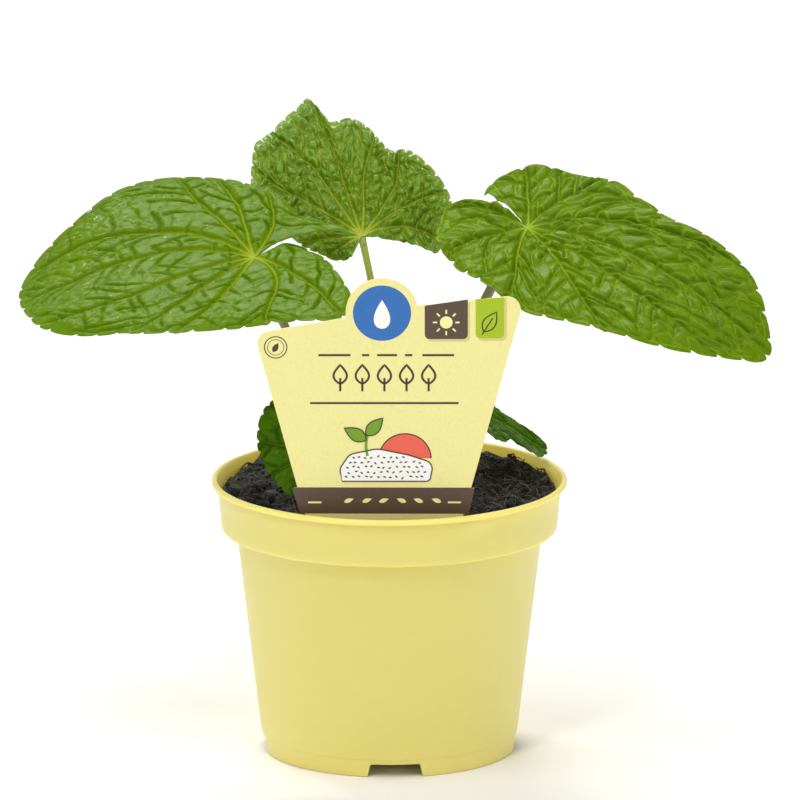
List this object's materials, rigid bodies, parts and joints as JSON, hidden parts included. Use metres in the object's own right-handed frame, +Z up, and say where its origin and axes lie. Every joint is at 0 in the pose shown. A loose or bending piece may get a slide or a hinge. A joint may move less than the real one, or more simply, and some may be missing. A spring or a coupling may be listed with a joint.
{
  "type": "potted wasabi plant",
  "caption": "Young wasabi plant in a round notched nursery pot: large heart-shaped quilted leaves on slender stalks, peat soil, and a waisted blank card label on a stake.",
  "frame": {"origin": "on the ground under the middle of the pot", "axes": "+Z up, the label faces -Y, the two large leaves spread along X"},
  "size_m": [0.25, 0.1199, 0.2083],
  "materials": {
    "pot_plastic": "pale yellow moulded polypropylene, satin",
    "peat_soil": "moist black peat with fine fibres, rough",
    "rhizome_skin": "knobbly green-brown skin with leaf scars",
    "label_card": "pale yellow card, matt",
    "leaf_blade": "fresh green leaf, satin with a waxy gloss",
    "leaf_stalk": "smooth fleshy stalk"
  },
  "bodies": {
    "root": {"pot": "pot_plastic", "soil": "peat_soil", "rhizome": "rhizome_skin", "label": "label_card", "leaf_left_blade": "leaf_blade", "leaf_right_blade": "leaf_blade", "leaf_back_blade": "leaf_blade", "leaf_low_left_blade": "leaf_blade", "leaf_low_right_blade": "leaf_blade", "leaf_left_stalk": "leaf_stalk", "leaf_right_stalk": "leaf_stalk", "leaf_back_stalk": "leaf_stalk", "leaf_low_left_stalk": "leaf_stalk", "leaf_low_right_stalk": "leaf_stalk"}
  },
  "joints": []
}
